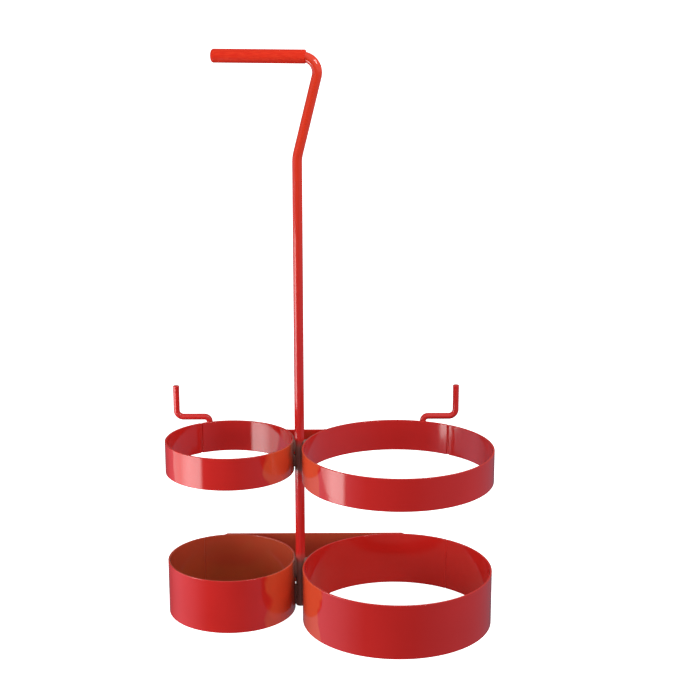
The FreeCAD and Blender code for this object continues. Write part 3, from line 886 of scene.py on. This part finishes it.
class CARRIER_OT_sleeve(Operator):
    """Push the plastic sleeve over the handle: closed at its far end, with a rounded lip"""

    bl_idname = "carrier.sleeve"
    bl_label = "Grip sleeve"
    bl_options = {"REGISTER", "UNDO"}

    def execute(self, context):
        sizes = context.scene.carrier_rod
        inner = sizes.radius + sizes.sleeve_clearance
        outer = inner + sizes.sleeve_wall
        closed, opened = -sizes.reach - sizes.sleeve_cap, sizes.sleeve_overlap
        quarter = np.linspace(0, pi / 2, ROUND_STEPS)
        cap_x = closed + sizes.cap_round * (1 - np.cos(quarter))
        cap_r = outer - sizes.cap_round * (1 - np.sin(quarter))
        lip = sizes.lip_round
        lip_x = opened - lip * (1 - np.sin(quarter))
        lip_r = outer - lip * (1 - np.cos(quarter))
        lip_back_x = opened - lip * (1 - np.cos(quarter))
        lip_back_r = inner + lip * (1 - np.sin(quarter))
        run = np.linspace(cap_x[-1] + SUPPORT, lip_x[0] - SUPPORT, RUN_STEPS)
        bore = np.linspace(lip_back_x[-1] - SUPPORT, -sizes.reach, RUN_STEPS)
        outer_x = np.concatenate([[closed], cap_x, run, lip_x])
        outer_r = np.concatenate([[0.0], cap_r, np.full(RUN_STEPS, outer), lip_r])
        inner_x = np.concatenate([lip_back_x, bore, [-sizes.reach]])
        inner_r = np.concatenate([lip_back_r, np.full(RUN_STEPS, inner), [0.0]])

        # The bore sinks with the rod's top bend: drop = R - sqrt(R^2 - past^2).
        corner = handle_corner(sizes)
        half = (pi / 2 - sizes.lean) / 2
        past = (inner_x - corner + sizes.handle_radius / tan(half)).clip(0)
        bent = sizes.handle_radius - np.sqrt(sizes.handle_radius ** 2 - past ** 2)
        x, r = np.append(outer_x, inner_x), np.append(outer_r, inner_r)
        drop = np.append(np.zeros(len(outer_x)), bent)
        origin = on_floor(rod_foot) + UP * sizes.grip_height
        rows = turned(x, r, drop, origin, across_rings)
        add_piece("grip_sleeve", [rows], sleeve_plastic())
        return {"FINISHED"}


class CARRIER_OT_hooks(Operator):
    """Bend both wire hooks: leg up the ring's back, arm outwards, tip up"""

    bl_idname = "carrier.hooks"
    bl_label = "Hooks"
    bl_options = {"REGISTER", "UNDO"}

    def execute(self, context):
        sizes = context.scene.carrier_hook
        arm = heights("upper_small_ring")[1] + sizes.rise
        for side in SIDES:
            node = f"{side}_side_hook"
            leg, tip = end_middle(node, high=False), end_middle(node, high=True)
            corners = [leg, [*leg[:2], arm], [*tip[:2], arm], tip]
            middle, ahead = bent_line(corners, [sizes.leg_radius, sizes.tip_radius], 3 * MM)
            side_way = unit(np.cross(ahead[0], on_floor(tip - leg)))
            outline = round_outline(sizes.radius, count=32)
            rows = carried(outline, middle, ahead, side_way, sizes.tip_round)
            add_piece(node, [rows], rod_enamel())
        return {"FINISHED"}


ROOT_GAP = 0.3 * MM


class CARRIER_OT_strips(Operator):
    """Cut the bridge, the back strip and the two support straps"""

    bl_idname = "carrier.strips"
    bl_label = "Strips and straps"
    bl_options = {"REGISTER", "UNDO"}

    def execute(self, context):
        sizes = context.scene.carrier_strip
        reach = {side: bores[side] + sizes.wall + ROOT_GAP for side in SIDES}

        def ring_edge(side, sign, radius):
            """x of a circle about the ring's axis, as a function of y."""
            x, y = centres[side][:2]
            return lambda across: x + sign * np.sqrt(radius ** 2 - (across - y) ** 2)

        low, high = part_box("bridge_strip")
        self.strip(
            "bridge_strip", low, high,
            ring_edge("small", 1, reach["small"]), ring_edge("large", -1, reach["large"]),
        )
        low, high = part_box("back_strip")
        left, right = low.x, high.x
        self.strip("back_strip", low, high, lambda y: left + 0 * y, lambda y: right + 0 * y)
        for side in SIDES:
            node = f"{side}_support_strap"
            low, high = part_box(node)
            radius = bores[side] - ROOT_GAP
            self.strip(node, low, high, ring_edge(side, -1, radius), ring_edge(side, 1, radius))
        return {"FINISHED"}

    def strip(self, node, low, high, left, right):
        """One flat strip that fills the box from low to high, between the curves left and right."""
        sizes = bpy.context.scene.carrier_strip
        outline = bar_outline(high.y - low.y, high.z - low.z, sizes.edge)
        middle = ((low.y + high.y) / 2, (low.z + high.z) / 2)
        rows = strip_between(outline, middle, left, right, sizes.edge)
        add_piece(node, [rows], strip_enamel())


# Half thickness of each kind of bead, and where its middle stands beside what it joins.
TACK_DEPTH, TACK_OFFSET, TACK_CLEARANCE = 1.7 * MM, 0.15 * MM, 0.2 * MM
HOOK_DEPTH, HOOK_OFFSET, HOOK_PHASE = 1.2 * MM, 0.3 * MM, 0.4
BRIDGE_DEPTH, BRIDGE_OFFSET = 1.25 * MM, 0.4 * MM
PHASE_STEP = 0.7
BACK_DEPTH, BACK_SINK, BACK_INSET = 1.15 * MM, 1.2 * MM, 0.3 * MM
STRAP_DEPTH, STRAP_INSET, STRAP_OFFSET, STRAP_TURN = 1.1 * MM, 0.5 * MM, 0.3 * MM, 0.3


class CARRIER_OT_welds(Operator):
    """Lay the tack welds on the rod and the beads on hooks, strips and straps"""

    bl_idname = "carrier.welds"
    bl_label = "Welds"
    bl_options = {"REGISTER", "UNDO"}

    def execute(self, context):
        strip = context.scene.carrier_strip
        sizes = context.scene.carrier_weld
        outer = {side: bores[side] + strip.wall for side in SIDES}
        phase = 0.0

        for level, side in RINGS:
            low, high = heights(f"{level}_{side}_ring")
            away = on_floor(rod_foot) - centres[side]
            apart = np.linalg.norm(away)
            turn = np.arctan2(away[1], away[0])
            root = (apart + outer[side] - context.scene.carrier_rod.radius) / 2
            middle = centres[side] + away / apart * (root + TACK_OFFSET)
            inward = min(root - bores[side] - TACK_CLEARANCE, TACK_DEPTH)
            half = (inward, getattr(sizes, f"{side}_tack"), sizes.tack_share * (high - low) / 2)
            shells = []
            for z in (low + sizes.tack_inset + half[2], high - strip.edge - half[2]):
                phase += PHASE_STEP
                shells.append(weld(middle + UP * z, half, turn, "tack", phase))
            self.add_beads(f"{level}_{side}_rod_welds", shells)

        for side in SIDES:
            node = f"{side}_hook_weld"
            leg = on_floor(end_middle(f"{side}_side_hook", high=False))
            away = unit(leg - centres[side]) * (outer[side] + HOOK_OFFSET)
            size = (HOOK_DEPTH, sizes.hook_bead)
            shells = [self.ring_bead(node, side, away, size, "hook", HOOK_PHASE)]
            self.add_beads(node, shells)

        shells = []
        for side, sign in (("small", 1), ("large", -1)):
            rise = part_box("bridge_strip")[1].y - centres[side][1]
            run = sign * sqrt(outer[side] ** 2 - rise ** 2)
            away = unit(np.array([run, rise, 0.0])) * (outer[side] + BRIDGE_OFFSET)
            size = (BRIDGE_DEPTH, sizes.bead)
            shells.append(self.ring_bead("bridge_welds", side, away, size, "bridge", sign))
        self.add_beads("bridge_welds", shells)

        strip_low, strip_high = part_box("back_strip")
        z_low, z_high = heights("back_strip_welds")
        shells = []
        for x, side_way in ((strip_low.x, 1), (strip_high.x, -1)):
            y = strip_high.y - BACK_SINK
            middle = np.array([x + side_way * BACK_INSET, y, (z_low + z_high) / 2])
            half = (sizes.bead, BACK_DEPTH, (z_high - z_low) / 2)
            shells.append(weld(middle, half, 0.0, "back", x))
        self.add_beads("back_strip_welds", shells)

        for side in SIDES:
            low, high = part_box(f"{side}_support_strap")
            half_width = (high.y - low.y) / 2
            shells = []
            for across, along in ((-1, -1), (-1, 1), (1, -1), (1, 1)):
                x = across * (sqrt(bores[side] ** 2 - half_width ** 2) - STRAP_INSET)
                y = along * (half_width + STRAP_OFFSET)
                half = (STRAP_DEPTH, sizes.bead, high.z / 2)
                turn = across * along * STRAP_TURN
                middle = centres[side] + [x, y, half[2]]
                shells.append(weld(middle, half, turn, "strap", along))
            self.add_beads(f"{side}_strap_welds", shells)
        return {"FINISHED"}

    def add_beads(self, node, shells):
        add_piece(node, shells, weld_enamel())

    def ring_bead(self, node, side, away, size, kind, phase):
        """An upright bead as high as its node, at away from a ring's axis and turned that way."""
        low, high = heights(node)
        middle = centres[side] + away + UP * (low + high) / 2
        turn = np.arctan2(away[1], away[0])
        return weld(middle, (*size, (high - low) / 2), turn, kind, phase)


# Softboxes as place, target and size. Ramps as stops of position and brightness.
TOP_SOFTBOX = ((0.28, -0.26, 0.62), (0.0, 0.0, 0.2), 0.16)
SIDE_SOFTBOX = ((-0.5, -0.18, 0.08), (-0.08, 0.0, 0.05), 0.3)
FLAG_SHADES = {"small": "B39A3C", "large": "C8B0A4"}
BACK_LEFT = (-0.5, 0.87, 0.0)
TENT_BY_HEIGHT = ((0.0, 0.62), (0.14, 0.62), (0.3, 0.5), (0.7, 0.65), (1.0, 0.75))
TENT_BY_DEPTH = ((0.0, 1.0), (0.25, 0.85), (0.5, 0.5), (1.0, 0.25))
ROOM_ACROSS = (
    (0.0, 0.95), (0.05, 0.9), (0.115, 0.5), (0.2, 0.2), (0.5, 0.16), (0.65, 0.18), (0.785, 0.3),
    (0.97, 0.45),
)
HORIZON = 0.06
CARD_FRONT, CARD_BACK, CARD_TOP = (-0.196, -0.142), (-0.36, 0.125), 0.2
CARD_FADE = ((0.0, 0.0), (0.07, 1.0), (0.3, 1.0), (0.55, 0.42), (1.0, 0.3))


def background(tree, light, strength=1.0):
    """Light from all round in one colour or pattern."""
    inputs = {"Color": light, "Strength": strength}
    return add_node(tree, "ShaderNodeBackground", inputs).outputs["Background"]


def light_mix(tree, share, first, second):
    """The first light where share is 0, the second where it is 1."""
    inputs = {"Fac": share, 1: first, 2: second}
    return add_node(tree, "ShaderNodeMixShader", inputs).outputs["Shader"]


def add_object(name, data, hidden_from):
    """Put an object into the scene, out of reach of the given kinds of ray."""
    item = bpy.data.objects.new(name, data)
    for ray in hidden_from:
        setattr(item, f"visible_{ray}", False)
    bpy.context.scene.collection.objects.link(item)
    return item


def disc(name, centre, radius, count, material):
    """A level disc: one circle of count points, as one face."""
    points = spokes(np.arange(count) * 2 * pi / count) * radius + centre
    mesh = bpy.data.meshes.new(name)
    mesh.from_pydata(points.tolist(), [], [list(range(count))])
    mesh.materials.append(material)
    return mesh


class CARRIER_OT_stage(Operator):
    """Set the floor, the studio light and the camera"""

    bl_idname = "carrier.stage"
    bl_label = "Stage"
    bl_options = {"REGISTER", "UNDO"}

    def execute(self, context):
        scene = context.scene
        stage = scene.carrier_stage
        scene.view_settings.view_transform = "Standard"
        self.floor(stage)
        self.flags()
        self.world(scene, stage)
        self.card(stage)
        self.softbox("top_softbox", TOP_SOFTBOX, stage.top_light)
        side = self.softbox("side_softbox", SIDE_SOFTBOX, stage.side_light)
        side.visible_glossy = False
        camera = bpy.data.objects.new("camera", bpy.data.cameras.new("camera"))
        camera.data.lens = stage.lens
        camera.data.sensor_width = 36.0
        camera.data.clip_end = 200.0
        camera.location = stage.camera_place
        camera.rotation_euler = (pi / 2 - stage.camera_tilt, 0.0, -stage.camera_turn)
        scene.collection.objects.link(camera)
        scene.camera = camera
        return {"FINISHED"}

    def floor(self, stage):
        """The studio floor, a disc a hair under the lowest pieces."""
        mesh = disc("studio_floor", np.zeros(3), stage.floor_radius, 96, floor_paint())
        floor = add_object("studio_floor", mesh, ("glossy", "diffuse"))
        floor.location.z = -0.05 * MM

    def flags(self):
        """Brown cards on the floor inside the lower rings, which keep light from coming up."""
        for side in SIDES:
            board = card_board(f"{side}_brown_card", FLAG_SHADES[side])
            centre = centres[side] + [0, 0, -0.02 * MM]
            mesh = disc(f"{side}_flag", centre, bores[side] - 0.5 * MM, 64, board)
            flag = add_object(f"{side}_flag", mesh, ("camera", "shadow"))

    def world(self, scene, stage):
        """Studio light all round: a light tent over the horizon and a dim room under it.

        The tent's light is a ramp on height times a ramp on how far a direction points to the
        back left, so it is strongest from the front right. The room's light changes from the left
        (-X) to the right, as tables and walls do. The camera sees plain white in its place.
        """
        world = bpy.data.worlds.new("studio")
        world.use_nodes = True
        tree = world.node_tree
        tree.nodes.clear()
        way = coordinates(tree, "Generated")
        axes = split(tree, way)
        depth = scaled(tree, vector(tree, "DOT_PRODUCT", way, BACK_LEFT)["Value"], -1.0, 1.0)
        by_height = grey_ramp(tree, axes["Z"], TENT_BY_HEIGHT)
        by_depth = grey_ramp(tree, depth, TENT_BY_DEPTH)
        tent = vector(tree, "MULTIPLY", by_height, by_depth)["Vector"]
        across = scaled(tree, axes["X"], -1.0, 1.0)
        room = grey_ramp(tree, across, ROOM_ACROSS)
        room = vector(tree, "MULTIPLY", room, stage.room_tint)["Vector"]
        above = scaled(tree, axes["Z"], -HORIZON, HORIZON)
        both = light_mix(tree, above, background(tree, room), background(tree, tent, stage.sky))
        camera_ray = add_node(tree, "ShaderNodeLightPath").outputs["Is Camera Ray"]
        seen = light_mix(tree, camera_ray, both, background(tree, WHITE))
        add_node(tree, "ShaderNodeOutputWorld", {"Surface": seen})
        scene.world = world

    def softbox(self, name, setting, power):
        """A square area light, from its place, target and size."""
        place, target, size = setting
        light = bpy.data.lights.new(name, "AREA")
        light.size = size
        light.energy = power
        lamp = add_object(name, light, ("camera",))
        lamp.location = place
        lamp.rotation_euler = (Vector(target) - Vector(place)).to_track_quat("-Z", "Y").to_euler()
        return lamp

    def card(self, stage):
        """An upright card on the left, brightest near its front edge."""
        corners = [
            (*CARD_FRONT, 0.0), (*CARD_BACK, 0.0), (*CARD_BACK, CARD_TOP), (*CARD_FRONT, CARD_TOP),
        ]
        mesh = bpy.data.meshes.new("light_card")
        mesh.from_pydata(corners, [], [(0, 1, 2, 3)])
        layer = mesh.uv_layers.new(name="card")
        layer.data.foreach_set("uv", np.array([0, 0, 1, 0, 1, 1, 0, 1], np.float32))
        material, tree = new_material("light_card")
        place = add_node(tree, "ShaderNodeUVMap", uv_map="card").outputs["UV"]
        back = split(tree, place)["X"]
        fade = grey_ramp(tree, back, CARD_FADE)
        glow = add_node(tree, "ShaderNodeEmission", {"Color": fade, "Strength": stage.card})
        add_node(tree, "ShaderNodeOutputMaterial", {"Surface": glow.outputs["Emission"]})
        mesh.materials.append(material)
        card = add_object("light_card", mesh, ("camera", "diffuse", "shadow"))


BUILDERS = (
    CARRIER_OT_rings,
    CARRIER_OT_seams,
    CARRIER_OT_rod,
    CARRIER_OT_sleeve,
    CARRIER_OT_hooks,
    CARRIER_OT_strips,
    CARRIER_OT_welds,
    CARRIER_OT_stage,
)

SETTINGS = {
    "carrier_strip": CarrierStripSizes,
    "carrier_rod": CarrierRodSizes,
    "carrier_hook": CarrierHookSizes,
    "carrier_weld": CarrierWeldSizes,
    "carrier_finish": CarrierFinish,
    "carrier_stage": CarrierStage,
}


class CARRIER_PT_sidebar(Panel):
    """Buttons and sizes of the carrier in the 3D view's sidebar"""

    bl_label = "Bottle Carrier"
    bl_idname = "CARRIER_PT_sidebar"
    bl_space_type = "VIEW_3D"
    bl_region_type = "UI"
    bl_category = "Carrier"

    def draw(self, context):
        column = self.layout.column()
        for builder in BUILDERS:
            column.operator(builder.bl_idname)
        for name, group in SETTINGS.items():
            for prop in group.__annotations__:
                column.prop(getattr(context.scene, name), prop)


def register():
    for group in (*SETTINGS.values(), *BUILDERS, CARRIER_PT_sidebar):
        bpy.utils.register_class(group)
    for name, group in SETTINGS.items():
        setattr(bpy.types.Scene, name, PointerProperty(type=group))


def unregister():
    for name in SETTINGS:
        delattr(bpy.types.Scene, name)
    for group in (CARRIER_PT_sidebar, *BUILDERS, *SETTINGS.values()):
        bpy.utils.unregister_class(group)


def main():
    register()
    for name in ("rings", "seams", "rod", "sleeve", "hooks", "strips", "welds", "stage"):
        getattr(bpy.ops.carrier, name)()


if __name__ == "__main__":
    main()
